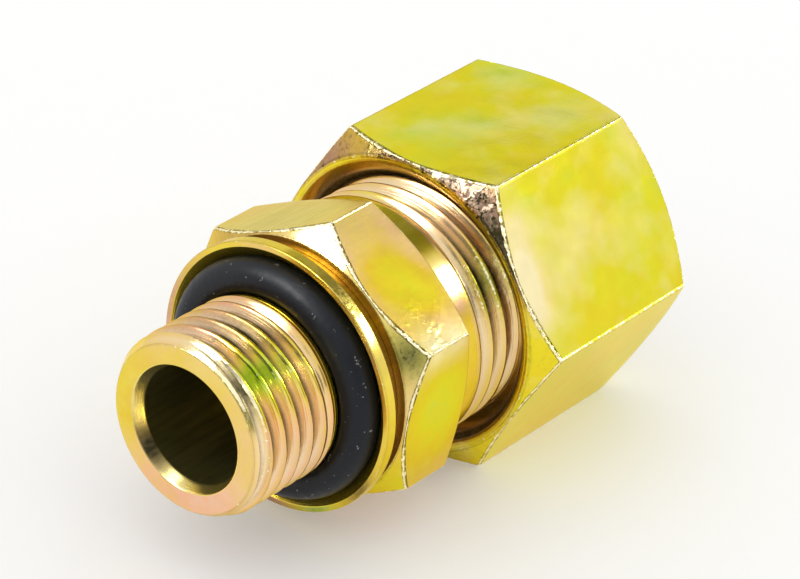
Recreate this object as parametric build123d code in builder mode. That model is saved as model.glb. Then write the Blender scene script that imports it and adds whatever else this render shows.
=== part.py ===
"""Straight stud coupling for a 12 mm tube: millimetres, the axis along X, the stud towards -X."""
import os
from math import acos, cos, radians, sqrt, tan

from build123d import *

os.makedirs("parts", exist_ok=True)

# Tube and passage
tube_d = 12.0
tube_clearance = 0.05  # radial, tube to socket, cutting ring and nut
passage_d = 8.4  # through the stud and the hexagon
mouth_bevel = 0.4  # radial, the lead-in at the end of the stud
mouth_depth = 0.85
socket_stop = 7.0  # from the end of the body to the shoulder the tube stands on

# Stud, G 1/4 parallel
stud_thread_d = 13.157
stud_length = 11.2  # from the face of the hexagon, which lies at X = 0
stud_chamfer_depth = 0.6
stud_chamfer_length = 0.9
seal_seat_d = 12.0
seal_seat_length = 3.3
rib_height = 0.42  # over the seat, keeps the seal on it
rib_width = 0.3
undercut_height = 0.1  # over the seat
undercut_width = 0.3

# Hexagon of the body, 19 across flats
hex_wall = 0.5  # from the thread of the cone end to a flat
hex_length = 6.6
hex_turn = -22.7  # degrees, against the nut
hex_face_inset = 0.16  # front face to flat, radially
hex_front_angle = 40.0
hex_back_angle = 30.0

# Cone end of the body, M18 x 1.5
shank_wall = 3.0  # from the tube to the crests of the thread
shank_length = 11.2
shank_chamfer_depth = 0.9
shank_chamfer_length = 1.0
cone_half_angle = 12.0
cone_flare = 1.0  # from the tube to the edge of the cone

# Seal and its retaining ring
seal_section = 2.62
seal_gap = 0.02  # round the seal, at its seat and in the ring
rib_gap = 0.102  # seal to the corner of the rib
lip_gap = 0.66  # seal to the lip of the retaining ring
lip_width = 0.4
flange_width = 0.87
hub_wall = 0.6
hub_overlap = 0.1  # the ring's cone runs this far past the seal

# Cutting ring
ring_length = 9.1
ring_entry = 2.6  # into the cone of the body
ring_seat_gap = 0.05  # radial to the body's cone, axial to the nut's
ring_wall = 1.5  # from the tube to the shoulder
ring_tail_wall = 0.35
ring_waist_depth = 0.35
ring_waist_width = 1.6
ring_head_length = 3.4

# Union nut, 22 across flats
nut_wall = 2.0  # from the thread to a flat
nut_length = 17.5
nut_gap = 4.6  # from the body's hexagon, screwed on by hand
nut_face_inset = 0.17
nut_front_angle = 36.0
nut_back_inset = 1.27
nut_back_angle = 35.0
thread_clearance = 0.05  # radial, nut on the body
nut_rim_width = 0.42  # flat left between the two bevels of the front
nut_relief_depth = 0.8  # below the crests of the thread, behind it
nut_relief_length = 2.0

# Places along X
stud_end = -stud_length
seat_start = -seal_seat_length
rib_start = seat_start - rib_width
undercut_start = rib_start - undercut_width
shank_end = hex_length + shank_length
socket_x = shank_end - socket_stop
nut_start = hex_length + nut_gap
nut_end = nut_start + nut_length

# Radii, and the widths across flats
passage_r = passage_d / 2
mouth_r = passage_r + mouth_bevel
stud_r = stud_thread_d / 2
seat_r = seal_seat_d / 2
rib_r = seat_r + rib_height
undercut_r = seat_r + undercut_height
tube_r = tube_d / 2
tube_hole_r = tube_r + tube_clearance
shank_r = tube_r + shank_wall
cone_mouth_r = tube_r + cone_flare
hex_af = 2 * (shank_r + hex_wall)
nut_af = 2 * (shank_r + nut_wall)
cone_slope = tan(radians(cone_half_angle))
cone_start = shank_end - (cone_mouth_r - tube_hole_r) / cone_slope


def corner_radius(across_flats):
    return across_flats / 2 / cos(radians(30))


# Body: the stud, the hexagon and the threaded cone end, turned from one bar
hex_face_r = hex_af / 2 - hex_face_inset
hex_corner_r = corner_radius(hex_af)
hex_front_drop = (hex_corner_r - hex_face_r) * tan(radians(hex_front_angle))
hex_back_drop = (hex_corner_r - shank_r) * tan(radians(hex_back_angle))

with BuildPart() as fitting_body:
    with BuildSketch(Plane.YZ):
        RegularPolygon(hex_af / 2, 6, major_radius=False, rotation=hex_turn)
    extrude(amount=hex_length)
    with BuildSketch(Plane.XZ):
        with BuildLine():
            Polyline(
                (0, 0),
                (0, hex_face_r),
                (hex_front_drop, hex_corner_r),
                (hex_length - hex_back_drop, hex_corner_r),
                (hex_length, shank_r),
                (hex_length, 0),
                close=True,
            )
        make_face()
    revolve(axis=Axis.X, mode=Mode.INTERSECT)
    with BuildSketch(Plane.XZ):
        with BuildLine():
            Polyline(
                (stud_end, 0),
                (stud_end, stud_r - stud_chamfer_depth),
                (stud_end + stud_chamfer_length, stud_r),
                (undercut_start, stud_r),
                (undercut_start, undercut_r),
                (rib_start, undercut_r),
                (rib_start, rib_r),
                (seat_start, rib_r),
                (seat_start, seat_r),
                (0, seat_r),
                (0, 0),
                close=True,
            )
        make_face()
    revolve(axis=Axis.X)
    with BuildSketch(Plane.XZ):
        with BuildLine():
            Polyline(
                (hex_length, 0),
                (hex_length, shank_r),
                (shank_end - shank_chamfer_length, shank_r),
                (shank_end, shank_r - shank_chamfer_depth),
                (shank_end, 0),
                close=True,
            )
        make_face()
    revolve(axis=Axis.X)
    with BuildSketch(Plane.XZ):
        with BuildLine():
            Polyline(
                (stud_end, 0),
                (stud_end, mouth_r),
                (stud_end + mouth_depth, passage_r),
                (socket_x, passage_r),
                (socket_x, tube_hole_r),
                (cone_start, tube_hole_r),
                (shank_end, cone_mouth_r),
                (shank_end, 0),
                close=True,
            )
        make_face()
    revolve(axis=Axis.X, mode=Mode.SUBTRACT)

# O-ring: round section, stretched over its seat against the corner of the rib
seal_r = seal_section / 2
seal_path_r = seat_r + seal_gap + seal_r
rib_drop = max(seal_path_r - rib_r, 0)
seal_x = seat_start + sqrt((seal_r + rib_gap) ** 2 - rib_drop**2)

with BuildPart() as o_ring:
    with BuildSketch(Plane.XZ):
        with Locations((seal_x, seal_path_r)):
            Circle(seal_r)
    revolve(axis=Axis.X)

# Retaining ring: a flange whose narrow lip is level with the seal, a cone that bears on the seal, and a hub
lip_inner_r = seal_path_r + seal_r + lip_gap
ring_outer_r = lip_inner_r + lip_width
flange_back = seal_x + flange_width
bevel_angle = acos((seal_r + seal_gap) / (seal_r + lip_gap))
hub_inner_r = seal_path_r + seal_r * cos(bevel_angle) - hub_overlap
hub_inner_x = seal_x + (lip_inner_r - hub_inner_r) / tan(bevel_angle)
hub_outer_r = hub_inner_r + hub_wall

with BuildPart() as retaining_ring:
    with BuildSketch(Plane.XZ):
        with BuildLine():
            Polyline(
                (seal_x, lip_inner_r),
                (seal_x, ring_outer_r),
                (flange_back, ring_outer_r),
                (flange_back, hub_outer_r),
                (0, hub_outer_r),
                (0, hub_inner_r),
                (hub_inner_x, hub_inner_r),
                close=True,
            )
        make_face()
    revolve(axis=Axis.X)

# Cutting ring: a thin tapered head in the cone of the body, a waist, and a shoulder for the nut
ring_front = shank_end - ring_entry
ring_back = ring_front + ring_length
head_r = cone_mouth_r - ring_entry * cone_slope - ring_seat_gap
head_end = ring_front + ring_head_length
head_end_r = head_r + ring_head_length * cone_slope
waist_r = head_end_r - ring_waist_depth
shoulder_r = tube_r + ring_wall
tail_r = tube_hole_r + ring_tail_wall
shoulder_end = ring_back - (shoulder_r - tail_r)
shoulder_start = head_end + ring_waist_width + (shoulder_r - waist_r)

with BuildPart() as cutting_ring:
    with BuildSketch(Plane.XZ):
        with BuildLine():
            Polyline(
                (ring_front, tube_hole_r),
                (ring_front, head_r),
                (head_end, head_end_r),
                (head_end, waist_r),
                (head_end + ring_waist_width, waist_r),
                (shoulder_start, shoulder_r),
                (shoulder_end, shoulder_r),
                (ring_back, tail_r),
                (ring_back, tube_hole_r),
                close=True,
            )
        make_face()
    revolve(axis=Axis.X)

# Union nut: hexagon with both ends bevelled, countersunk mouth, thread, and a cone for the ring
nut_corner_r = corner_radius(nut_af)
nut_face_r = nut_af / 2 - nut_face_inset
nut_back_r = nut_af / 2 - nut_back_inset
nut_front_drop = (nut_corner_r - nut_face_r) * tan(radians(nut_front_angle))
nut_back_drop = (nut_corner_r - nut_back_r) * tan(radians(nut_back_angle))
nut_bore_r = shank_r + thread_clearance
nut_mouth_r = nut_face_r - nut_rim_width
nut_relief_r = shank_r - nut_relief_depth
nut_hole_r = tube_hole_r + 2 * tube_clearance
nut_seat_x = shoulder_end + (shoulder_r - nut_hole_r) + ring_seat_gap
nut_relief_end = nut_seat_x - (nut_relief_r - nut_hole_r)
nut_thread_end = nut_relief_end - nut_relief_length

with BuildPart() as union_nut:
    with BuildSketch(Plane.YZ.offset(nut_start)):
        RegularPolygon(nut_af / 2, 6, major_radius=False)
    extrude(amount=nut_length)
    with BuildSketch(Plane.XZ):
        with BuildLine():
            Polyline(
                (nut_start, 0),
                (nut_start, nut_face_r),
                (nut_start + nut_front_drop, nut_corner_r),
                (nut_end - nut_back_drop, nut_corner_r),
                (nut_end, nut_back_r),
                (nut_end, 0),
                close=True,
            )
        make_face()
    revolve(axis=Axis.X, mode=Mode.INTERSECT)
    with BuildSketch(Plane.XZ):
        with BuildLine():
            Polyline(
                (nut_start, 0),
                (nut_start, nut_mouth_r),
                (nut_start + nut_mouth_r - nut_bore_r, nut_bore_r),
                (nut_thread_end, nut_bore_r),
                (nut_thread_end, nut_relief_r),
                (nut_relief_end, nut_relief_r),
                (nut_seat_x, nut_hole_r),
                (nut_end, nut_hole_r),
                (nut_end, 0),
                close=True,
            )
        make_face()
    revolve(axis=Axis.X, mode=Mode.SUBTRACT)

fitting_body.part.label = "fitting_body"
export_step(fitting_body.part, "parts/fitting_body.step")
o_ring.part.label = "o_ring"
export_step(o_ring.part, "parts/o_ring.step")
retaining_ring.part.label = "retaining_ring"
export_step(retaining_ring.part, "parts/retaining_ring.step")
cutting_ring.part.label = "cutting_ring"
export_step(cutting_ring.part, "parts/cutting_ring.step")
union_nut.part.label = "union_nut"
export_step(union_nut.part, "parts/union_nut.step")
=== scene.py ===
import bpy
import math
import numpy as np
from mathutils import Matrix, Vector


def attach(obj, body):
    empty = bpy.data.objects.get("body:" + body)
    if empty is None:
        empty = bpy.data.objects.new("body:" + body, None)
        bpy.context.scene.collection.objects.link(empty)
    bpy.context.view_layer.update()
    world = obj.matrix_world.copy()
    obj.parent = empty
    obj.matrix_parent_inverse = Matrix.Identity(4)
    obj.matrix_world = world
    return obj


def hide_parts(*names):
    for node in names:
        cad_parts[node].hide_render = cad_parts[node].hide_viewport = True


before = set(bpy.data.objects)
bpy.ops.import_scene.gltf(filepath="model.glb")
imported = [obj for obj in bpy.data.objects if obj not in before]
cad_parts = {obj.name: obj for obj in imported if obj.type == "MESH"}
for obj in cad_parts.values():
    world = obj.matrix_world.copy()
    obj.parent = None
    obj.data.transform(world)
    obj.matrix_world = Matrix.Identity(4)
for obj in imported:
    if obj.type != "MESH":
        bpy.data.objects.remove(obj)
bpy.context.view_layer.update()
mm = 0.001

# Turning: every piece is an outline carried round the X axis, in columns
turning = {
    "columns": 240,  # a multiple of six, so that each corner of a hexagon has a column
    "crowd": 0.8,  # how much closer the columns stand at the corners, 0 is evenly
    "edgeSteps": 4,  # faces across a broken edge
    "edgeShare": 0.4,  # the most that a broken edge takes of a line of the outline
    "closeRows": (0.15, 0.5),  # two more rows beside a fully worn edge, as shares of the first gap
    "normalWeight": 80,  # how much the large faces count in the shading
    "film": (0.45, 0.0, 0.0),  # tint, paleness (a painted pale sheen) and shade (painted shade) of a surface without a film of its own
}
# What wear adds at the five rows across a broken edge: coarseness, bare metal and a painted highlight, and the
# dark lines beside it
wearing = {
    "coarse": (0.0, 0.375, 0.5, 0.4, 0.4), "bareAndGlint": (0.0, 0.75, 1.0, 0.5, 0.5),
    "shade": (0.0, 0.5, 0.0, 0.5, 0.8),
    "ridge": 0.6,  # bare metal and a painted highlight on the corners of a hexagon
}


def columnAngles(cornerAngle=0.0, crowd=0.0):
    even = np.arange(turning["columns"]) * 2 * math.pi / turning["columns"]
    return cornerAngle + even - crowd / 6 * np.sin(6 * even)


# Distance from the axis to a hexagon with rounded corners, at each column, and 1 on its corners
def hexRadius(angles, cornerAngle, acrossFlats, cornerRound):
    away = np.abs((angles - cornerAngle + math.pi / 6) % (math.pi / 3) - math.pi / 6)
    flat = acrossFlats / 2 / np.cos(math.pi / 6 - away)
    centre = (acrossFlats / 2 - cornerRound) / math.cos(math.pi / 6)
    bulge = np.maximum(cornerRound**2 - (centre * np.sin(away)) ** 2, 0)
    rounded = centre * np.cos(away) + np.sqrt(bulge)
    touch = math.atan2(cornerRound * 0.5, centre + cornerRound * math.cos(math.pi / 6))
    return np.where(away < touch, rounded, flat), np.where(away < touch, 1.0, 0.0)


# A point of an outline in millimetres: how far its edge is broken and how worn that is, and for the surface
# from here to the next point its name, its rows, the zone of the thread that may cut it, and how coarse it is
def point(x, r, name="", edge=0.0, rows=0, zone=0, coarse=0.0, wear=0.0):
    return {"x": x, "r": r, "name": name, "edge": edge, "rows": rows, "zone": zone, "coarse": coarse,
            "wear": wear}


def blend(first, last, s):
    return (1 - s) * first + s * last


# Where the rows between two points stand; beside a fully worn edge two more rows stand close
def rowShares(step):
    even = np.linspace(0, 1, step["rows"] + 2)[1:-1]
    return [share * even[0] for share in turning["closeRows"]] + [*even] if step["wear"] == 1.0 else even


# The rows of an outline in order. Each has its (x, radius) at every column, its marks (zone, coarseness, bare
# metal and painted edge highlight, tint, paleness as a painted pale sheen, shade as painted shade), and the
# two surfaces it lies between with its share in the second.
def layRows(outline, films, count):
    corners = [np.stack([np.broadcast_to(step[key], (count,)).astype(float) for key in ("x", "r")], axis=-1)
               for step in outline]
    film = [films.get(step["name"], turning["film"]) for step in outline]
    across = np.linspace(0, 1, turning["edgeSteps"] + 1)
    edges = []
    for index, step in enumerate(outline):
        before, here = outline[index - 1], corners[index]
        toLast = corners[index - 1] - here
        toNext = corners[(index + 1) % len(corners)] - here
        lastLength = np.linalg.norm(toLast, axis=1, keepdims=True)
        nextLength = np.linalg.norm(toNext, axis=1, keepdims=True)
        reach = np.minimum(step["edge"], turning["edgeShare"] * np.minimum(lastLength, nextLength))
        first = here + toLast / lastLength * reach
        last = here + toNext / nextLength * reach
        rows = []
        for s in across if step["edge"] else across[-1:]:
            at = round(s * turning["edgeSteps"])
            coarse, bareAndGlint, dark = (step["wear"] * wearing[key][at] for key in ("coarse", "bareAndGlint", "shade"))
            tint, palesheen, shade = (blend(a, b, s) for a, b in zip(film[index - 1], film[index]))
            coarse += blend(before["coarse"], step["coarse"], s)
            rows.append({
                "place": (1 - s) ** 2 * first + 2 * s * (1 - s) * here + s * s * last,
                "marks": (step["zone"], coarse, bareAndGlint, tint, palesheen, shade + dark),
                "between": (before["name"], step["name"], s),
            })
        edges.append(rows)
    laid = []
    for index, step in enumerate(outline):
        laid += edges[index]
        start, end = edges[index][-1]["place"], edges[(index + 1) % len(edges)][0]["place"]
        marks = (step["zone"], step["coarse"], 0.0, *film[index])
        for s in rowShares(step):
            laid.append({"place": blend(start, end, s), "marks": marks, "between": ("", step["name"], 1.0)})
    return laid


# Carries the rows round the axis, from millimetres to a mesh in metres with its faces outward
def carryRound(name, laid, angles):
    count = len(angles)
    rows = np.array([row["place"] for row in laid]) * mm  # row, column, (x, r)
    y = rows[:, :, 1] * np.cos(angles)
    z = rows[:, :, 1] * np.sin(angles)
    places = np.stack([rows[:, :, 0], y, z], axis=-1).reshape(-1, 3)
    row, column = np.meshgrid(np.arange(len(laid)), np.arange(count), indexing="ij")
    below, beside = (row + 1) % len(laid), (column + 1) % count
    quads = [row * count + column, row * count + beside, below * count + beside, below * count + column]
    faces = np.stack(quads, axis=-1).reshape(-1, 4)
    a, b, c = places[faces[:, 0]], places[faces[:, 1]], places[faces[:, 2]]
    if np.einsum("ij,ij->i", np.cross(b - a, c - a), a).sum() < 0:
        faces = faces[:, ::-1]
    mesh = bpy.data.meshes.new(name)
    mesh.from_pydata(places.tolist(), [], faces.tolist())
    mesh.polygons.foreach_set("use_smooth", [True] * len(mesh.polygons))
    return mesh, places


# A turned piece. Films give each named surface its tint, paleness, which paints a pale sheen of highlights,
# and shade, which paints shade and darker reflections and in places darker film. Spots are listed for each
# named surface, as a place (x, radius, angle), how far it reaches, and what it adds to tint, painted sheen,
# painted shade and coarseness. Ridges are 1 on the corners of a hexagon.
def turn(name, angles, outline, films, spots, ridges=0.0):
    laid = layRows(outline, films, len(angles))
    mesh, places = carryRound(name, laid, angles)

    # how far each vertex belongs to a named surface
    def belongs(surface):
        part = [(s if own == surface else 0) + (1 - s if last == surface else 0)
                for last, own, s in (row["between"] for row in laid)]
        return np.repeat(np.array(part, float), len(angles))

    marks = np.repeat(np.array([row["marks"] for row in laid], float), len(angles), axis=0)
    values = dict(zip(("zone", "coarse", "edge", "tint", "palesheen", "shade"), marks.T.copy()))
    values["groove"] = np.zeros(len(places))
    ridged = np.tile(np.broadcast_to(ridges, (len(angles),)), len(laid))
    values["edge"] += wearing["ridge"] * ridged * belongs("flats")
    for surface, listed in spots.items():
        own = belongs(surface)
        for x, r, angle, reach, *adds in listed:
            turned = math.radians(angle)
            centre = np.array([x, r * math.cos(turned), r * math.sin(turned)]) * mm
            near = np.exp(-((places - centre) ** 2).sum(axis=1) / (reach * mm) ** 2) * own
            for key, add in zip(("tint", "palesheen", "shade", "coarse"), adds):
                values[key] += add * near
    for key, value in values.items():
        mesh.attributes.new(key, "FLOAT", "POINT").data.foreach_set("value", value.astype(float))
    piece = bpy.data.objects.new(name, mesh)
    bpy.context.scene.collection.objects.link(piece)
    return piece


# One node of a tree; sockets are given in order, and None leaves one as it is
def addNode(tree, kind, *values, **settings):
    node = tree.nodes.new(kind)
    for key, value in settings.items():
        setattr(node, key, value)
    for socket, value in zip(node.inputs, values):
        if isinstance(value, bpy.types.NodeSocket):
            tree.links.new(value, socket)
        elif value is not None:
            socket.default_value = value
    return node


def calc(tree, operation, *values):
    return addNode(tree, "ShaderNodeMath", *values, operation=operation).outputs[0]


def fade(tree, value, low, high, smooth=True):
    kind = "SMOOTHSTEP" if smooth else "LINEAR"
    return addNode(tree, "ShaderNodeMapRange", value, low, high, 0.0, 1.0, interpolation_type=kind).outputs[0]


def offAxis(tree, y, z):
    return calc(tree, "SQRT", calc(tree, "ADD", calc(tree, "MULTIPLY", y, y), calc(tree, "MULTIPLY", z, z)))


# Inputs of the thread's tree and the values of a thread that they take, lengths and plain numbers
threadLengths = {"Pitch": "pitch", "Depth": "depth", "Crest Radius": "crest", "Start": "start",
                 "Lead In": "leadIn", "End": "end", "Run Out": "runOut"}
threadShares = {"Zone": "zone", "Side": "side", "Shift": "shift", "Root Share": "rootShare",
                "Crest Share": "crestShare", "Roundness": "roundness"}


# Cuts a right-hand thread along X into the rows of one zone
def threadTree():
    tree = bpy.data.node_groups.new("cutThread", "GeometryNodeTree")
    tree.interface.new_socket("Geometry", in_out="INPUT", socket_type="NodeSocketGeometry")
    for label in (*threadLengths, *threadShares):
        tree.interface.new_socket(label, in_out="INPUT", socket_type="NodeSocketFloat")
    tree.interface.new_socket("Material", in_out="INPUT", socket_type="NodeSocketMaterial")
    tree.interface.new_socket("Geometry", in_out="OUTPUT", socket_type="NodeSocketGeometry")
    given = tree.nodes.new("NodeGroupInput").outputs
    place = tree.nodes.new("GeometryNodeInputPosition").outputs[0]
    x, y, z = addNode(tree, "ShaderNodeSeparateXYZ", place).outputs
    radius = offAxis(tree, y, z)
    # saw is 1 on a crest and 0 in a root, once for each turn
    angle = calc(tree, "DIVIDE", calc(tree, "ARCTAN2", z, y), 2 * math.pi)
    turns = calc(tree, "SUBTRACT", calc(tree, "DIVIDE", x, given["Pitch"]), angle)
    turns = calc(tree, "SUBTRACT", turns, given["Shift"])
    saw = calc(tree, "ABSOLUTE", calc(tree, "MULTIPLY_ADD", calc(tree, "FRACT", turns), 2.0, -1.0))
    # straight flanks between flat roots and crests, eased towards a wave by the roundness
    crestStart = calc(tree, "SUBTRACT", 1.0, given["Crest Share"])
    straight = fade(tree, saw, given["Root Share"], crestStart, smooth=False)
    rounded = fade(tree, saw, 0.0, 1.0)
    gap = calc(tree, "SUBTRACT", rounded, straight)
    height = calc(tree, "MULTIPLY_ADD", gap, given["Roundness"], straight)
    leadIn = fade(tree, x, given["Start"], calc(tree, "ADD", given["Start"], given["Lead In"]))
    runOut = fade(tree, x, given["End"], calc(tree, "SUBTRACT", given["End"], given["Run Out"]))
    share = calc(tree, "MULTIPLY", calc(tree, "SUBTRACT", 1.0, height), calc(tree, "MULTIPLY", leadIn, runOut))
    # Side is 1 on a shaft and -1 in a bore
    limit = calc(tree, "SUBTRACT", calc(tree, "MULTIPLY", given["Side"], given["Crest Radius"]),
                 calc(tree, "MULTIPLY", given["Depth"], share))
    kept = calc(tree, "MINIMUM", calc(tree, "MULTIPLY", given["Side"], radius), limit)
    scale = calc(tree, "DIVIDE", calc(tree, "MULTIPLY", given["Side"], kept), radius)
    y, z = calc(tree, "MULTIPLY", y, scale), calc(tree, "MULTIPLY", z, scale)
    moved = addNode(tree, "ShaderNodeCombineXYZ", x, y, z)
    zone = addNode(tree, "GeometryNodeInputNamedAttribute", "zone", data_type="FLOAT").outputs[0]
    chosen = addNode(tree, "FunctionNodeCompare", zone, given["Zone"], data_type="FLOAT", operation="EQUAL")
    chosen.inputs["Epsilon"].default_value = 0.1  # zones are whole numbers
    noted = addNode(tree, "GeometryNodeStoreNamedAttribute", given["Geometry"], chosen.outputs[0], "groove",
                    share, data_type="FLOAT", domain="POINT")
    cut = addNode(tree, "GeometryNodeSetPosition", noted.outputs[0], chosen.outputs[0], moved.outputs[0])
    whole = addNode(tree, "GeometryNodeRealizeInstances", cut.outputs[0])
    dressed = addNode(tree, "GeometryNodeSetMaterial", whole.outputs[0], None, given["Material"])
    out = tree.nodes.new("NodeGroupOutput")
    tree.links.new(dressed.outputs[0], out.inputs[0])
    return tree


cutThread = threadTree()


def addThread(piece, thread, material):
    modifier = piece.modifiers.new(thread["name"], "NODES")
    modifier.node_group = cutThread
    sockets = {s.name: s.identifier for s in cutThread.interface.items_tree if s.in_out == "INPUT"}
    for label, key in threadLengths.items():
        modifier[sockets[label]] = float(thread[key] * mm)
    for label, key in threadShares.items():
        modifier[sockets[label]] = float(thread[key])
    modifier[sockets["Material"]] = material


# Evens the normals and turns the live modifiers into the mesh itself
def settle(piece, material):
    weigh = piece.modifiers.new("evenNormals", "WEIGHTED_NORMAL")
    weigh.weight = turning["normalWeight"]
    piece.data.materials.append(material)
    graph = bpy.context.evaluated_depsgraph_get()
    plain = bpy.data.meshes.new_from_object(piece.evaluated_get(graph), depsgraph=graph)
    piece.modifiers.clear()
    piece.data = plain
    piece.data.materials.clear()
    piece.data.materials.append(material)


def dress(piece, body, node):
    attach(piece, body)
    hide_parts(node)
    print(piece.name, len(piece.data.polygons), "faces")


def newGroup(name, given, made):
    tree = bpy.data.node_groups.new(name, "ShaderNodeTree")
    for label, kind, value in given:
        socket = tree.interface.new_socket(label, in_out="INPUT", socket_type="NodeSocket" + kind)
        if value is not None:
            socket.default_value = value
    for label, kind in made:
        tree.interface.new_socket(label, in_out="OUTPUT", socket_type="NodeSocket" + kind)
    return tree, tree.nodes.new("NodeGroupInput").outputs, tree.nodes.new("NodeGroupOutput").inputs


def noise(tree, place, size, detail=2.0, rough=0.5):
    node = addNode(tree, "ShaderNodeTexNoise", place)
    node.inputs["Scale"].default_value = 1 / (size * mm)
    node.inputs["Detail"].default_value = detail
    node.inputs["Roughness"].default_value = rough
    return node.outputs["Fac"]


# Noise that swings about 0
def swing(tree, place, size, detail=2.0, rough=0.5):
    return calc(tree, "SUBTRACT", noise(tree, place, size, detail, rough), 0.5)


def mixColor(tree, factor, first, second):
    node = addNode(tree, "ShaderNodeMix", data_type="RGBA", clamp_factor=True)
    for socket, value in zip((node.inputs["Factor"], node.inputs[6], node.inputs[7]), (factor, first, second)):
        if isinstance(value, tuple):
            socket.default_value = (*value, 1)
        else:
            tree.links.new(value, socket)
    return node.outputs[2]


# Colour of the chromate film as the metal reflects it, from thin and pink through gold to thick and green
filmColors = [
    (0.00, (0.80, 0.50, 0.40)), (0.13, (0.84, 0.42, 0.26)), (0.28, (0.78, 0.48, 0.11)),
    (0.42, (0.77, 0.53, 0.03)), (0.55, (0.77, 0.62, 0.02)), (0.67, (0.72, 0.67, 0.02)),
    (0.79, (0.60, 0.68, 0.08)), (0.91, (0.40, 0.58, 0.01)), (1.00, (0.18, 0.22, 0.05)),
]
# Noise is given as size in millimetres, detail and roughness, and a soft step by where it starts and ends
filmLook = {
    "clouds": (4.0, 3.0), "blotches": (0.7, 3.0, 0.6), "haze": (2.6, 3.0),
    "lines": (0.3, 2.0), "lineStretch": (0.06, 1.0, 1.0), "lineShade": 0.3,  # fine lines along the axis
    "rootStep": (0.45, 1.0), "rootPaintedShade": 0.8,  # painted shade in the roots of a thread
    "specks": (0.3, 4.0, 0.7), "speckStep": (0.52, 0.6), "patches": (1.6, 2.0), "patchStep": (0.42, 0.56),
    "speckLimit": 0.9,  # no specks where a groove is deeper
    "thickStep": (0.5, 0.9), "thickShare": 0.8, "grooveShare": 1.6, "grooveLimit": 0.85,  # grooves are painted rosy and pale against the deep colour of reflections between flanks
    "brinkIn": (0.0, 0.08), "brinkOut": (0.12, 0.35), "brinkShare": 2.5,  # wear and painted glints beside the crests of a thread
    "ragged": (0.35, 3.0, 0.7), "raggedShare": 3.0, "wearStep": (0.5, 0.8), "wearStart": (0.0, 0.3),
    "rough": (1.5, 2.0), "roughLow": 0.1, "roughSpan": 0.1, "roughDark": 0.25,
    # the pale colour paints the sheen of highlights; the dark colour takes painted shade and dark specks
    "rosyColor": (0.89, 0.68, 0.46), "sheenColor": (0.92, 0.80, 0.45), "darkColor": (0.03, 0.027, 0.01),
    "bareAndGlintColor": (0.95, 0.86, 0.55),
}


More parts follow.
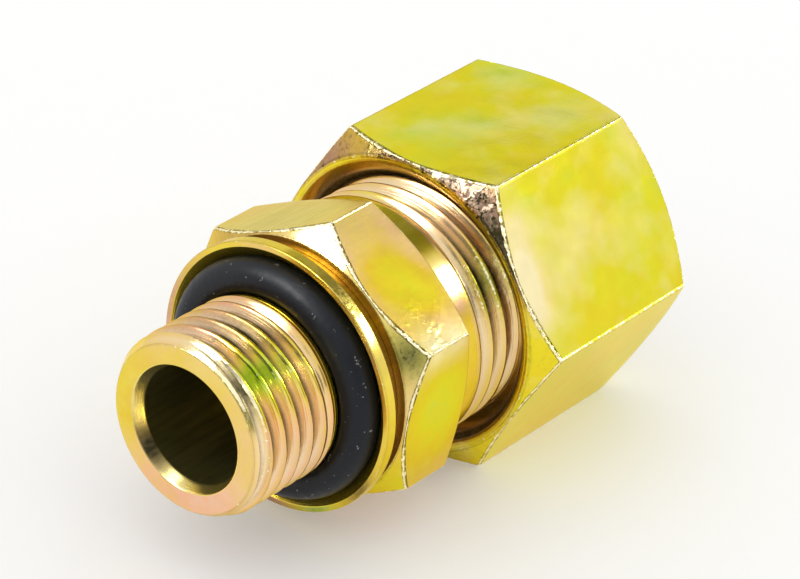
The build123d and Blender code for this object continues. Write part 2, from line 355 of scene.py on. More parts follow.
# Film over zinc: the tint painted on the piece with a painted pale sheen of highlights and painted shade, and
# soft clouds and fine blotches of the bath
def filmGroup():
    tree, given, made = newGroup(
        "chromateFilm",
        [("Place", "Vector", None), ("Tint", "Float", 0.45), ("PaleSheen", "Float", 0.0), ("Shade", "Float", 0.0),
         ("Groove", "Float", 0.0), ("Edge", "Float", 0.0), ("Coarse", "Float", 0.0), ("Clouds", "Float", 0.3),
         ("Blotches", "Float", 0.1), ("Haze", "Float", 0.4)],
        [("Color", "Color"), ("Roughness", "Float")])
    look = filmLook
    place, groove = given["Place"], given["Groove"]
    clouds = swing(tree, place, *look["clouds"])
    blotches = swing(tree, place, *look["blotches"])
    moved = calc(tree, "MULTIPLY_ADD", clouds, given["Clouds"], given["Tint"])
    moved = calc(tree, "MULTIPLY_ADD", blotches, given["Blotches"], moved)
    ramp = addNode(tree, "ShaderNodeValToRGB", moved)
    elements = ramp.color_ramp.elements
    while len(elements) < len(filmColors):
        elements.new(1.0)
    for element, (stop, color) in zip(elements, filmColors):
        element.position = stop
        element.color = (*color, 1)
    # painted shade, deepest in the roots of a thread, fine lines where it is dark, dark specks in patches
    # where it is coarse
    stretched = addNode(tree, "ShaderNodeVectorMath", place, look["lineStretch"], operation="MULTIPLY")
    lines = swing(tree, stretched.outputs[0], *look["lines"])
    rootShading = fade(tree, groove, *look["rootStep"])
    dark = calc(tree, "ADD", given["Shade"], calc(tree, "MULTIPLY", rootShading, look["rootPaintedShade"]))
    dark = calc(tree, "MULTIPLY_ADD", lines, calc(tree, "MINIMUM", dark, look["lineShade"]), dark)
    specks = fade(tree, noise(tree, place, *look["specks"]), *look["speckStep"])
    patches = fade(tree, noise(tree, place, *look["patches"]), *look["patchStep"])
    specks = calc(tree, "MULTIPLY", specks, patches)
    specks = calc(tree, "MULTIPLY", specks, calc(tree, "SUBTRACT", look["speckLimit"], groove))
    dark = calc(tree, "MULTIPLY_ADD", calc(tree, "MAXIMUM", specks, 0.0), given["Coarse"], dark)
    # painted pale sheen of highlights, swinging in soft clouds
    haze = calc(tree, "MULTIPLY_ADD", swing(tree, place, *look["haze"]), given["Haze"], given["PaleSheen"])
    # grooves are painted rosy and pale against the deeper colour of the reflections between the flanks, less
    # so where the film is thick and green
    thin = calc(tree, "MULTIPLY_ADD", fade(tree, given["Tint"], *look["thickStep"]), -look["thickShare"], 1.0)
    grooved = calc(tree, "MINIMUM", calc(tree, "MULTIPLY", groove, look["grooveShare"]), look["grooveLimit"])
    rosy = mixColor(tree, calc(tree, "MULTIPLY", grooved, thin), ramp.outputs["Color"], look["rosyColor"])
    sheened = mixColor(tree, haze, rosy, look["sheenColor"])
    shaded = mixColor(tree, dark, sheened, look["darkColor"])
    # bare metal and painted glints in ragged flecks along worn edges, and beside the crests of a coarse thread
    ragged = swing(tree, place, *look["ragged"])
    brink = calc(tree, "SUBTRACT", fade(tree, groove, *look["brinkIn"]), fade(tree, groove, *look["brinkOut"]))
    edge = calc(tree, "MULTIPLY", given["Coarse"], look["brinkShare"])
    edge = calc(tree, "MULTIPLY_ADD", brink, edge, given["Edge"])
    wear = fade(tree, calc(tree, "MULTIPLY_ADD", ragged, look["raggedShare"], edge), *look["wearStep"])
    wear = calc(tree, "MULTIPLY", wear, fade(tree, edge, *look["wearStart"]))
    tree.links.new(mixColor(tree, wear, shaded, look["bareAndGlintColor"]), made["Color"])
    rough = calc(tree, "MULTIPLY_ADD", noise(tree, place, *look["rough"]), look["roughSpan"], look["roughLow"])
    rough = calc(tree, "MULTIPLY_ADD", dark, look["roughDark"], rough)
    tree.links.new(rough, made["Roughness"])
    return tree


# Noise and steps are given as for the film
surfaceLook = {
    "rings": (0.12, 2.0), "waves": (3.0, 1.0), "patches": (1.6, 2.0), "patchStep": (0.4, 0.62),
    "skin": (0.4, 4.0, 0.6), "edgeSkin": 0.6,
}


# Height of the surface: rings left by the tool, soft waves, and the coarse skin of bevels and grooves
def surfaceGroup():
    tree, given, made = newGroup(
        "workedSurface",
        [("Place", "Vector", None), ("Coarse", "Float", 0.0), ("Edge", "Float", 0.0), ("Rings", "Float", 0.2),
         ("Waves", "Float", 1.0), ("Skin", "Float", 1.0)],
        [("Height", "Float")])
    look = surfaceLook
    place = given["Place"]
    parts = addNode(tree, "ShaderNodeSeparateXYZ", place).outputs
    along = addNode(tree, "ShaderNodeCombineXYZ", parts[0], offAxis(tree, parts[1], parts[2]), 0.0).outputs[0]
    rings = calc(tree, "MULTIPLY", noise(tree, along, *look["rings"]), given["Rings"])
    waves = calc(tree, "MULTIPLY", noise(tree, place, *look["waves"]), given["Waves"])
    patches = fade(tree, noise(tree, place, *look["patches"]), *look["patchStep"])
    edgeSkin = calc(tree, "MULTIPLY", given["Edge"], look["edgeSkin"])
    patches = calc(tree, "MULTIPLY_ADD", patches, given["Coarse"], edgeSkin)
    patches = calc(tree, "MULTIPLY", patches, given["Skin"])
    skin = calc(tree, "MULTIPLY", noise(tree, place, *look["skin"]), patches)
    tree.links.new(calc(tree, "ADD", rings, calc(tree, "ADD", waves, skin)), made["Height"])
    return tree


filmTree = filmGroup()
surfaceTree = surfaceGroup()


def plainMaterial(name, color, metallic, roughness):
    material = bpy.data.materials.new(name)
    material.use_nodes = True
    shader = material.node_tree.nodes["Principled BSDF"]
    shader.inputs["Base Color"].default_value = (*color, 1)
    shader.inputs["Metallic"].default_value = metallic
    shader.inputs["Roughness"].default_value = roughness
    return material


# Bump of a material from a height and the depth in millimetres that it stands for
def addBump(tree, shader, height, depth):
    bump = addNode(tree, "ShaderNodeBump")
    bump.inputs["Distance"].default_value = depth * mm
    tree.links.new(height, bump.inputs["Height"])
    tree.links.new(bump.outputs["Normal"], shader.inputs["Normal"])


plating = {"color": (0.8, 0.6, 0.07), "metallic": 0.9, "roughness": 0.15, "specular": (0.9, 0.8, 0.35),
           "coat": 0.15, "coatRoughness": 0.1}


def chromated(name, values):
    material = plainMaterial(name, plating["color"], plating["metallic"], plating["roughness"])
    tree = material.node_tree
    shader = tree.nodes["Principled BSDF"]
    shader.inputs["Specular Tint"].default_value = (*plating["specular"], 1)
    shader.inputs["Coat Weight"].default_value = plating["coat"]
    shader.inputs["Coat Roughness"].default_value = plating["coatRoughness"]
    place = tree.nodes.new("ShaderNodeTexCoord").outputs["Object"]

    def painted(key):
        return addNode(tree, "ShaderNodeAttribute", attribute_name=key).outputs["Fac"]

    film = addNode(tree, "ShaderNodeGroup", node_tree=filmTree)
    surface = addNode(tree, "ShaderNodeGroup", node_tree=surfaceTree)
    paintedOn = ((film, ("Tint", "PaleSheen", "Shade", "Groove", "Edge", "Coarse")), (surface, ("Coarse", "Edge")))
    for node, keys in paintedOn:
        tree.links.new(place, node.inputs["Place"])
        for key in keys:
            tree.links.new(painted(key.lower()), node.inputs[key])
    for key in ("Clouds", "Blotches", "Haze"):
        film.inputs[key].default_value = values[key]
    for key in ("Rings", "Waves", "Skin"):
        surface.inputs[key].default_value = values[key]
    addBump(tree, shader, surface.outputs["Height"], values["Height"])
    tree.links.new(film.outputs["Color"], shader.inputs["Base Color"])
    tree.links.new(film.outputs["Roughness"], shader.inputs["Roughness"])
    return material


def rubber(name, values):
    material = plainMaterial(name, values["color"], 0.0, values["roughLow"])
    tree = material.node_tree
    shader = tree.nodes["Principled BSDF"]
    shader.inputs["Specular IOR Level"].default_value = values["specular"]
    place = tree.nodes.new("ShaderNodeTexCoord").outputs["Object"]
    dust = fade(tree, noise(tree, place, *values["dust"]), *values["dustStep"])
    tree.links.new(mixColor(tree, dust, values["color"], values["dustColor"]), shader.inputs["Base Color"])
    rough = noise(tree, place, *values["rough"])
    rough = calc(tree, "MULTIPLY_ADD", rough, values["roughSpan"], values["roughLow"])
    tree.links.new(rough, shader.inputs["Roughness"])
    addBump(tree, shader, noise(tree, place, *values["waves"]), values["height"])
    return material


# the haze is how far the painted pale sheen of highlights swings in soft clouds
bodySteel = chromated("chromatedBody", {
    "Clouds": 0.42, "Blotches": 0.2, "Haze": 0.4, "Rings": 0.2, "Waves": 1.0, "Skin": 2.5, "Height": 0.05})
ringSteel = chromated("chromatedRing", {
    "Clouds": 0.3, "Blotches": 0.15, "Haze": 0.3, "Rings": 0.2, "Waves": 0.6, "Skin": 1.5, "Height": 0.05})
nutSteel = chromated("chromatedNut", {
    "Clouds": 0.4, "Blotches": 0.05, "Haze": 0.9, "Rings": 0.1, "Waves": 0.8, "Skin": 3.0, "Height": 0.05})
cutterSteel = chromated("chromatedCutter", {
    "Clouds": 0.2, "Blotches": 0.2, "Haze": 0.3, "Rings": 0.1, "Waves": 0.3, "Skin": 0.5, "Height": 0.04})
sealRubber = rubber("sealRubber", {
    "color": (0.006, 0.0078, 0.0125), "specular": 0.22,
    "dustColor": (0.3, 0.3, 0.3), "dust": (0.5, 4.0, 0.7), "dustStep": (0.65, 0.7),
    "rough": (1.2, 2.0), "roughLow": 0.32, "roughSpan": 0.2, "waves": (0.6, 2.0), "height": 0.03})
print("materials: four plated steels and the rubber")

# Body, in millimetres; the thread of the stud and the thread of the cone end are cut into the turned blank
body = {
    "studEnd": -11.2, "mouthRadius": 4.6, "mouthDepth": 0.85, "passageRadius": 4.2,
    "studRadius": 6.5785, "chamferDepth": 0.6, "chamferLength": 0.9,
    "undercutRadius": 6.1, "undercutStart": -3.9, "ribRadius": 6.42, "ribStart": -3.6,
    "seatRadius": 6.0, "seatStart": -3.3,
    "acrossFlats": 19.0, "cornerAngle": math.radians(-22.7), "cornerRound": 0.22, "hexEnd": 6.6,
    "faceInset": 0.16, "frontAngle": math.radians(40), "backAngle": math.radians(30),
    "neckEnd": 8.2, "shankRadius": 9.0, "shankEnd": 17.8, "shankChamfer": (1.0, 0.9),  # length and depth
    "coneRadius": 7.0, "coneStart": 13.331, "socketRadius": 6.05, "socketStart": 10.8,
    "edge": 0.06,  # how far a turned edge is broken
    "studRows": 96, "shankRows": 104,
}
# Shade here paints shade in the passage and in the gap behind the retaining ring, and darker reflections
# elsewhere
bodyFilms = {
    "face": (0.38, 0.25, 0.04), "chamfer": (0.3, 0.25, 0), "stud": (0.24, 0.03, 0), "seat": (0.42, 0, 0.1),
    "behindRing": (0.3, 0, 0.2), "bevel": (0.42, 0.15, 0), "flats": (0.22, 0.2, 0.13),
    "backBevel": (0.22, 0.2, 0.13), "neck": (0.42, 0.0, 0.03), "shank": (0.24, 0.25, 0.05),
    "cone": (0.24, 0.25, 0.05), "bore": (0.66, 0.5, 0.78), "mouth": (0.5, 0.35, 0),
}
# Spots paint tints of the film, and with paleness and shade also painted white highlights on the chamfer and
# neck and painted dark patches in reflections on the mouth, thread, bevel and flats
bodySpots = {
    "face": [
        (-11.2, 5.4, 10, 4.0, 0.06, -0.2, 0), (-11.2, 5.4, 240, 4.0, -0.26, -0.05, 0),
        (-11.2, 5.4, 285, 2.6, -0.1, -0.1, 0), (-11.2, 5.4, 312, 2.0, -0.12, 0, 0),
    ],
    "chamfer": [
        (-10.7, 6.3, 20, 3.5, 0.12, -0.1, 0), (-10.7, 6.3, 104, 1.6, 0, 0.6, 0, 0.5),
        (-10.7, 6.3, 132, 1.5, 0.3, 0, 0.86, 1.1), (-10.7, 6.3, 152, 1.2, 0.26, 0, 0.15),
        (-10.7, 6.3, 240, 3.0, -0.1, 0, 0),
    ],
    "stud": [
        (-9.4, 6.3, 131, 2.4, 0.62, -0.15, -0.6, 0.1), (-6.2, 6.3, 132, 2.2, 0.34, 0, -0.15, 0.15),
        (-7.0, 6.4, 188, 3.0, -0.04, 0.1, 0.08), (-7.0, 6.4, 225, 3.0, 0.08, 0.1, -0.1),
        (-8.0, 6.4, 76, 3.0, -0.04, -0.05, 0.26, 0.03), (-7.0, 6.3, 102, 2.6, 0.0, 0, 0.6, 0.06),
    ],
    "mouth": [
        (-10.8, 4.4, 318, 2.0, -0.3, 0, 1.0), (-10.8, 4.4, 35, 3.0, 0.1, 0.3, 0),
        (-10.8, 4.4, 275, 2.0, 0, 0.4, 0),
    ],
    "bevel": [
        (0.6, 10.0, 50, 3.0, -0.12, 0, 0.3), (0.6, 10.0, 98, 3.0, -0.1, 0.5, 0),
        (0.6, 10.0, 132, 2.0, 0.05, 0.4, 0), (0.6, 10.0, 155, 1.6, 0.25, 0.15, 0.76, 0.15),
        (0.6, 10.0, 174, 2.2, -0.14, 0.25, 0.1), (0.6, 10.0, 218, 3.0, 0.1, -0.2, 0),
    ],
    "flats": [
        (3.2, 9.5, 126, 2.5, 0.3, -0.35, -0.1), (4.4, 9.5, 138, 2.0, 0.26, -0.25, 0),
        (3.2, 9.5, 187, 4.5, 0.48, -0.4, -0.15), (2.2, 9.6, 67, 5.4, 0.38, 0.35, 0.22),
        (5.8, 9.6, 120, 2.0, -0.04, 0.1, 0.1), (2.5, 10.0, 148, 2.0, 0.12, 0, 0, 0.2),
        (3.6, 9.9, 148, 1.8, -0.12, 0.15, 0.05), (2.2, 10.6, 157, 1.3, 0.1, 0.8, -0.1, 0.2),
        (4.5, 10.8, 157, 1.2, 0.1, 0.6, 0),
    ],
    "neck": [
        (7.2, 9.0, 100, 3.4, 0.12, 0.0, 0.4), (7.4, 9.0, 136, 1.4, -0.1, 0.75, -0.05),
        (7.4, 9.0, 149, 0.8, -0.25, 0.1, 0.3),
    ],
    "shank": [
        (11.0, 9.0, 146, 2.4, 0.5, -0.3, 0.35, 0.35), (8.9, 9.0, 82, 2.4, 0.26, -0.25, 0),
        (11.0, 9.0, 95, 3.0, -0.12, 0.2, 0.1), (10.0, 9.0, 200, 3.4, 0.2, -0.25, 0),
    ],
}
studThread = {
    "name": "studThread", "zone": 1, "side": 1, "pitch": 1.337, "depth": 0.856, "crest": body["studRadius"],
    "shift": 0.0, "start": -11.25, "leadIn": 0.9, "end": body["undercutStart"], "runOut": 0.9,
    "rootShare": 0.14, "crestShare": 0.14, "roundness": 0.12,
}
shankThread = {
    "name": "shankThread", "zone": 2, "side": 1, "pitch": 1.5, "depth": 0.92, "crest": body["shankRadius"],
    "shift": 0.05, "start": 8.3, "leadIn": 1.3, "end": 19.0, "runOut": 0.1,
    "rootShare": 0.167, "crestShare": 0.125, "roundness": 0.35,
}


def makeBody():
    b = body
    edge, studEnd, shankEnd = b["edge"], b["studEnd"], b["shankEnd"]
    studZone, shankZone = studThread["zone"], shankThread["zone"]
    chamferLength, chamferDepth = b["shankChamfer"]
    angles = columnAngles(b["cornerAngle"], turning["crowd"])
    hexagon, ridges = hexRadius(angles, b["cornerAngle"], b["acrossFlats"], b["cornerRound"])
    faceRadius = b["acrossFlats"] / 2 - b["faceInset"]
    front = (hexagon - faceRadius) * math.tan(b["frontAngle"])
    back = b["hexEnd"] - (hexagon - b["shankRadius"]) * math.tan(b["backAngle"])
    outline = [
        point(studEnd, b["mouthRadius"], "face", edge=0.08, rows=6),
        point(studEnd, b["studRadius"] - b["chamferDepth"], "chamfer", edge=0.08, rows=14, zone=studZone,
              wear=0.3),
        point(studEnd + b["chamferLength"], b["studRadius"], "stud", edge=0.12, rows=b["studRows"],
              zone=studZone, wear=0.2),
        point(b["undercutStart"], b["studRadius"], "seat", edge),
        point(b["undercutStart"], b["undercutRadius"], "seat", edge),
        point(b["ribStart"], b["undercutRadius"], "seat", edge),
        point(b["ribStart"], b["ribRadius"], "seat", edge),
        point(b["seatStart"], b["ribRadius"], "seat", edge),
        point(b["seatStart"], b["seatRadius"], "seat", edge),
        point(0, b["seatRadius"], "behindRing", edge, rows=6),
        point(0, faceRadius, "bevel", edge=0.1, rows=6, coarse=0.05, wear=0.3),
        point(front, hexagon, "flats", edge=0.2, rows=14, wear=1.0),
        point(back, hexagon, "backBevel", edge=0.1, rows=4, coarse=0.1, wear=0.3),
        point(b["hexEnd"], b["shankRadius"], "neck", edge=0.05, rows=12),
        point(b["neckEnd"], b["shankRadius"], "shank", rows=b["shankRows"], zone=shankZone),
        point(shankEnd - chamferLength, b["shankRadius"], "shank", edge=0.1, rows=12, zone=shankZone),
        point(shankEnd, b["shankRadius"] - chamferDepth, "cone", edge=0.05, zone=shankZone),
        point(shankEnd, b["coneRadius"], "cone", edge, rows=8),
        point(b["coneStart"], b["socketRadius"], "cone", edge, rows=2),
        point(b["socketStart"], b["socketRadius"], "bore", edge=0.1, rows=2),
        point(b["socketStart"], b["passageRadius"], "bore", edge, rows=6),
        point(studEnd + b["mouthDepth"], b["passageRadius"], "mouth", edge=0.08, rows=5),
    ]
    piece = turn("fittingBodyDressed", angles, outline, bodyFilms, bodySpots, ridges)
    addThread(piece, studThread, bodySteel)
    addThread(piece, shankThread, bodySteel)
    settle(piece, bodySteel)
    dress(piece, "stud_body", "fitting_body")


makeBody()

# O-ring
seal = {"middle": -2.22, "radius": 7.33, "section": 2.62, "steps": 48}


def makeSeal():
    s = seal
    outline = []
    for step in range(s["steps"]):
        angle = 2 * math.pi * step / s["steps"]
        outline.append(point(s["middle"] + s["section"] / 2 * math.cos(angle),
                             s["radius"] + s["section"] / 2 * math.sin(angle)))
    piece = turn("sealRingDressed", columnAngles(), outline, {}, {})
    settle(piece, sealRubber)
    dress(piece, "stud_body", "o_ring")


makeSeal()

# Retaining ring; its lip is level with the middle of the O-ring
retainer = {"lip": seal["middle"], "lipRadius": 9.3, "outerRadius": 9.7, "flangeBack": -1.35,
            "hubOuter": 8.714, "hubInner": 8.114, "coneEnd": -1.134, "edge": 0.05}
# the hub is painted dark as the shade in the gap between the ring and the hexagon
retainerFilms = {"lip": (0.46, 0.08, 0), "wall": (0.5, 0.02, 0), "hub": (0.34, 0, 0.6),
                 "cone": (0.46, 0.08, 0)}
# Spots paint tints of the film, and with shade and paleness also painted darker reflections and sheen on the
# lip and wall
retainerSpots = {
    "wall": [
        (-1.8, 9.7, 122, 3.0, -0.05, 0.2, 0.1, 0.7), (-1.8, 9.7, 46, 3.0, -0.4, 0.1, 0.3),
        (-1.8, 9.7, 76, 2.6, 0, 0.2, 0.1), (-1.8, 9.7, 150, 3.0, 0, 0.2, 0),
    ],
    "lip": [
        (-2.2, 9.5, 10, 4.5, -0.34, 0.1, 0.3), (-2.2, 9.5, 82, 2.4, -0.14, 0.15, 0.06),
        (-2.2, 9.5, 216, 1.6, -0.1, 0, 0.7), (-2.2, 9.5, 140, 3.2, -0.12, 0.4, 0),
        (-2.2, 9.6, 246, 1.8, 0.4, 0, 0.3), (-2.2, 9.6, 270, 2.2, -0.3, 0, 0.5),
    ],
}


def makeRetainer():
    t = retainer
    edge = t["edge"]
    outline = [
        point(t["lip"], t["lipRadius"], "lip", edge, rows=3),
        point(t["lip"], t["outerRadius"], "wall", edge=0.1, rows=3, wear=0.25),
        point(t["flangeBack"], t["outerRadius"], "hub", edge, rows=3),
        point(t["flangeBack"], t["hubOuter"], "hub", edge, rows=3),
        point(0, t["hubOuter"], "hub", edge, rows=2),
        point(0, t["hubInner"], "hub", edge, rows=3),
        point(t["coneEnd"], t["hubInner"], "cone", edge, rows=6),
    ]
    piece = turn("retainingRingDressed", columnAngles(), outline, retainerFilms, retainerSpots)
    settle(piece, ringSteel)
    dress(piece, "stud_body", "retaining_ring")


makeRetainer()

# Cutting ring
cutter = {"front": 15.2, "bore": 6.05, "headRadius": 6.3974, "headEnd": 18.6, "headEndRadius": 7.1201,
          "waistRadius": 6.7701, "waistEnd": 20.2, "shoulderStart": 20.9299, "shoulderRadius": 7.5,
          "shoulderEnd": 23.2, "back": 24.3, "tailRadius": 6.4, "edge": 0.05}


def makeCutter():
    c = cutter
    edge = c["edge"]
    outline = [
        point(c["front"], c["bore"], edge=edge),
        point(c["front"], c["headRadius"], edge=edge, rows=4),
        point(c["headEnd"], c["headEndRadius"], edge=edge),
        point(c["headEnd"], c["waistRadius"], edge=edge),
        point(c["waistEnd"], c["waistRadius"], edge=edge),
        point(c["shoulderStart"], c["shoulderRadius"], edge=edge),
        point(c["shoulderEnd"], c["shoulderRadius"], edge=edge),
        point(c["back"], c["tailRadius"], edge=edge),
        point(c["back"], c["bore"], edge=edge, rows=6),
    ]
    piece = turn("cuttingRingDressed", columnAngles(), outline, {}, {})
    settle(piece, cutterSteel)
    dress(piece, "ring", "cutting_ring")


makeCutter()

# Union nut; its thread fills the bore of the solid down to the smaller radius
nut = {
    "start": 11.2, "end": 28.7, "acrossFlats": 22.0, "cornerRound": 0.28, "faceInset": 0.17,
    "frontAngle": math.radians(36), "backInset": 1.27, "backAngle": math.radians(35),
    "rim": 0.42, "boreRadius": 8.26, "threadEnd": 20.55, "reliefRadius": 8.2, "reliefEnd": 22.55,
    "seat": 24.6, "holeRadius": 6.15, "edge": 0.08, "threadRows": 104,
    "step": 0.05,  # from the end of the relief to the thread, along the axis
}
# the bore and the thread inside the nut are painted darker as shade
nutFilms = {
    "rim": (0.56, 0.0, 0), "bevel": (0.56, 0.0, 0), "flats": (0.65, 0.06, 0), "backBevel": (0.56, 0.0, 0),
    "back": (0.56, 0.0, 0), "bore": (0.5, 0, 0.5), "thread": (0.36, 0.05, 0.1),
    "countersink": (0.36, 0.05, 0.1),
}
# Spots paint tints of the film; their paleness paints a pale sheen along the front of the flats, and their
# shade paints darker reflections on the bevel, rim and lower flats
nutSpots = {
    "flats": [
        (20.0, 11.0, 90, 9.0, 0.0, -0.12, 0.02), (15.5, 11.2, 76, 2.2, 0.08, 0.12, 0),
        (17.4, 11.1, 90, 2.0, 0.08, 0.28, 0), (20.0, 11.1, 98, 2.2, 0.08, 0.3, 0),
        (24.0, 11.4, 108, 2.4, 0.08, 0.25, 0), (26.0, 11.3, 70, 2.6, 0.1, 0.15, 0),
        (12.2, 11.3, 146, 1.5, -0.1, 0.9, 0), (12.2, 11.1, 154, 1.5, -0.1, 0.8, 0),
        (12.4, 11.3, 164, 1.6, -0.1, 0.7, 0), (12.4, 11.6, 134, 1.6, -0.1, 0.8, 0),
        (16.5, 11.3, 158, 2.0, 0, 0.3, 0), (20.5, 11.2, 149, 2.0, 0, 0.35, 0),
        (16.4, 11.1, 141, 2.2, 0, 0.35, 0), (26.5, 11.6, 127, 2.0, 0, 0.35, 0),
        (20.0, 11.2, 210, 9.0, -0.08, -0.15, 0), (26.0, 11.2, 215, 5.0, 0, 0, 0.1),
    ],
    "bevel": [
        (11.6, 11.1, 48, 3.6, -0.42, 0.1, 0.55, 0.2), (11.6, 11.2, 84, 2.4, -0.42, 0.2, 0.7, 2.2),
        (11.7, 11.4, 103, 1.8, -0.5, 0.5, 0.36, 2.6), (11.8, 11.6, 118, 1.5, -0.54, 0.3, 0.5, 2.8),
        (11.6, 11.1, 131, 1.8, -0.5, 0.1, 0.82, 0.5), (11.6, 11.1, 147, 2.2, -0.38, 0.0, 0.86),
        (11.6, 11.1, 252, 2.4, 0, 0, 0.5),
    ],
    "rim": [
        (11.2, 10.6, 84, 3.0, -0.1, 0, 0.15), (11.2, 10.6, 96, 2.4, 0, 0, 0.2, 1.0),
        (11.2, 10.6, 132, 3.2, 0, 0, 0.75),
    ],
}
nutThread = {
    "name": "nutThread", "zone": 3, "side": -1, "pitch": shankThread["pitch"], "depth": 0.79,
    "crest": nut["boreRadius"], "shift": 0.55, "start": 10.0, "leadIn": 0.1, "end": nut["threadEnd"],
    "runOut": 0.7, "rootShare": 0.2, "crestShare": 0.22, "roundness": 0.3,
}


def makeNut():
    n = nut
    edge, zone = n["edge"], nutThread["zone"]
    angles = columnAngles(0.0, turning["crowd"])
    hexagon, ridges = hexRadius(angles, 0.0, n["acrossFlats"], n["cornerRound"])
    faceRadius = n["acrossFlats"] / 2 - n["faceInset"]
    backRadius = n["acrossFlats"] / 2 - n["backInset"]
    mouthRadius = faceRadius - n["rim"]
    front = n["start"] + (hexagon - faceRadius) * math.tan(n["frontAngle"])
    back = n["end"] - (hexagon - backRadius) * math.tan(n["backAngle"])
    outline = [
        point(n["start"], mouthRadius, "rim", edge=0.17, rows=2, wear=0.2),
        point(n["start"], faceRadius, "bevel", edge=0.17, rows=7, coarse=0.1, wear=0.3),
        point(front, hexagon, "flats", edge=0.2, rows=26, wear=1.0),
        point(back, hexagon, "backBevel", edge=0.12, rows=5, wear=0.6),
        point(n["end"], backRadius, "back", edge=0.1, rows=6),
        point(n["end"], n["holeRadius"], "bore", edge=0.15, rows=2),
        point(n["seat"], n["holeRadius"], "bore", edge, rows=2),
        point(n["reliefEnd"], n["reliefRadius"], "bore", edge, rows=2),
        point(n["threadEnd"], n["reliefRadius"], "thread", zone=zone),
        point(n["threadEnd"] - n["step"], n["boreRadius"], "thread", rows=n["threadRows"], zone=zone),
        point(n["start"] + mouthRadius - n["boreRadius"], n["boreRadius"], "countersink", edge, rows=20,
              zone=zone),
    ]
    piece = turn("unionNutDressed", angles, outline, nutFilms, nutSpots, ridges)
    addThread(piece, nutThread, nutSteel)
    settle(piece, nutSteel)
    dress(piece, "nut", "union_nut")


makeNut()

# Stage: a white table, white surroundings, softboxes and the dark parts of the room, in metres
stage = {
    "floor": -0.011, "size": 3.0,
    "paper": 0.84, "lift": 0.16, "shine": 0.3,  # colour, and its own light as the camera and the metal see it
    "reach": 0.6,  # from the object to the softboxes
    "flagShare": 0.97, "flagStep": 0.02,  # the flags stand nearer, each a little nearer than the last
}
# Azimuth from +X towards +Y, elevation, width and height in degrees; a softbox has a radiance, a flag a grey
softboxes = [
    {"name": "leftBox", "azimuth": 154, "elevation": 43, "width": 40, "height": 28, "radiance": 14.0},
    {"name": "rightBox", "azimuth": -41, "elevation": 28, "width": 24, "height": 14, "radiance": 16.0},
    {"name": "topBox", "azimuth": 150, "elevation": 75, "width": 80, "height": 20, "radiance": 3.5},
]
flags = [
    {"name": "rearFlag", "azimuth": 14, "elevation": 50, "width": 60, "height": 36, "cloth": 0.5},
    {"name": "cornerFlag", "azimuth": -6, "elevation": 52, "width": 28, "height": 30, "cloth": 0.25},
    {"name": "leftFlag", "azimuth": 176, "elevation": 18, "width": 48, "height": 20, "cloth": 0.1},
    {"name": "frontFlag", "azimuth": -116, "elevation": 15, "width": 34, "height": 22, "cloth": 0.35},
]


# A flat sheet, given by where it stands, its width and height, and its matt grey
def makeSheet(name, matrix, width, height, grey):
    mesh = bpy.data.meshes.new(name)
    ways = ((-1, -1), (1, -1), (1, 1), (-1, 1))
    corners = [matrix @ Vector((w * width / 2, h * height / 2, 0)) for w, h in ways]
    mesh.from_pydata(corners, [], [(0, 1, 2, 3)])
    sheet = bpy.data.objects.new(name, mesh)
    bpy.context.scene.collection.objects.link(sheet)
    material = plainMaterial(name + "Surface", (grey,) * 3, 0, 1.0)
    material.node_tree.nodes["Principled BSDF"].inputs["Specular IOR Level"].default_value = 0
    mesh.materials.append(material)
    return sheet, material.node_tree


def makeFloor():
    matrix = Matrix.Translation((0, 0, stage["floor"]))
    floor, tree = makeSheet("floor", matrix, stage["size"], stage["size"], stage["paper"])
    shader = tree.nodes["Principled BSDF"]
    shader.inputs["Emission Color"].default_value = (1, 1, 1, 1)
    path = tree.nodes.new("ShaderNodeLightPath").outputs
    seen = calc(tree, "ADD", path["Is Camera Ray"], path["Is Transmission Ray"])
    seen = calc(tree, "MULTIPLY", seen, stage["lift"])
    seen = calc(tree, "MULTIPLY_ADD", path["Is Glossy Ray"], stage["shine"], seen)
    tree.links.new(seen, shader.inputs["Emission Strength"])


# Where something stands that fills the given angles as the object sees it, facing the object
def standAt(item, distance):
    azimuth, elevation = math.radians(item["azimuth"]), math.radians(item["elevation"])
    away = Vector((math.cos(azimuth) * math.cos(elevation), math.sin(azimuth) * math.cos(elevation),
                   math.sin(elevation)))
    width = 2 * distance * math.tan(math.radians(item["width"] / 2)) * math.cos(elevation)
    height = 2 * distance * math.tan(math.radians(item["height"] / 2))
    turned = away.to_track_quat("Z", "Y").to_matrix().to_4x4()
    return Matrix.Translation(away * distance) @ turned, width, height


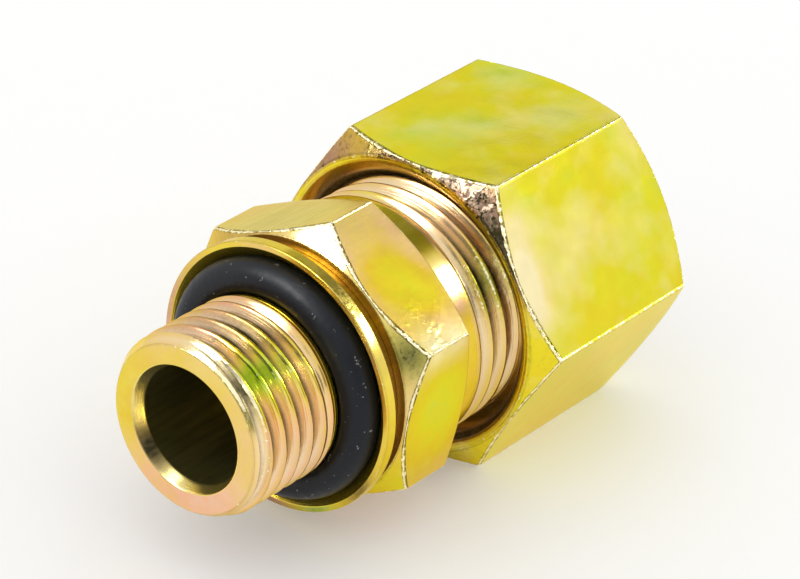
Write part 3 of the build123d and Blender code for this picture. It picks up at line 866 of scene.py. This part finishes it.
def makeSoftboxes():
    for item in softboxes:
        matrix, width, height = standAt(item, stage["reach"])
        light = bpy.data.lights.new(item["name"], "AREA")
        light.shape = "RECTANGLE"
        light.size, light.size_y = width, height
        light.energy = item["radiance"] * math.pi * width * height
        lamp = bpy.data.objects.new(item["name"], light)
        bpy.context.scene.collection.objects.link(lamp)
        lamp.matrix_world = matrix
        lamp.visible_camera = False
        lamp.visible_diffuse = False


# Grey cloths that only the metal sees
def makeFlags():
    for index, item in enumerate(flags):
        distance = stage["reach"] * (stage["flagShare"] - stage["flagStep"] * index)
        flag = makeSheet(item["name"], *standAt(item, distance), item["cloth"])[0]
        flag.visible_camera = False
        flag.visible_diffuse = False
        flag.visible_shadow = False


def makeWorld():
    world = bpy.data.worlds.new("room")
    bpy.context.scene.world = world
    world.use_nodes = True
    world.node_tree.nodes["Background"].inputs["Color"].default_value = (1, 1, 1, 1)
    world.node_tree.nodes["Background"].inputs["Strength"].default_value = 1.0


makeFloor()
makeSoftboxes()
makeFlags()
makeWorld()
print("stage:", len(softboxes), "softboxes,", len(flags), "flags")

# Camera, where the photograph was taken from
camera = {"azimuth": -52.15, "elevation": 29.8, "roll": 2.78, "distance": 0.27995, "lens": 184.53,
          "sensor": 36, "nearest": 0.01, "target": (0.010863, 0.0, 0.001304)}


def makeCamera():
    a, e, roll = (math.radians(camera[key]) for key in ("azimuth", "elevation", "roll"))
    back = np.array([math.sin(a) * math.cos(e), -math.cos(a) * math.cos(e), math.sin(e)])
    right = np.array([math.cos(a), math.sin(a), 0.0])
    up = np.cross(back, right)
    side = right * math.cos(roll) + up * math.sin(roll)
    top = up * math.cos(roll) - right * math.sin(roll)
    place = np.array(camera["target"]) + back * camera["distance"]
    lens = bpy.data.cameras.new("camera")
    lens.lens = camera["lens"]
    lens.sensor_width = camera["sensor"]
    lens.clip_start = camera["nearest"]
    eye = bpy.data.objects.new("camera", lens)
    bpy.context.scene.collection.objects.link(eye)
    matrix = np.eye(4)
    matrix[:3, 0], matrix[:3, 1], matrix[:3, 2], matrix[:3, 3] = side, top, back, place
    eye.matrix_world = Matrix(matrix.tolist())
    bpy.context.scene.camera = eye
    print("camera", camera["distance"], "m from the target")


makeCamera()

bpy.context.scene.view_settings.view_transform = "Standard"
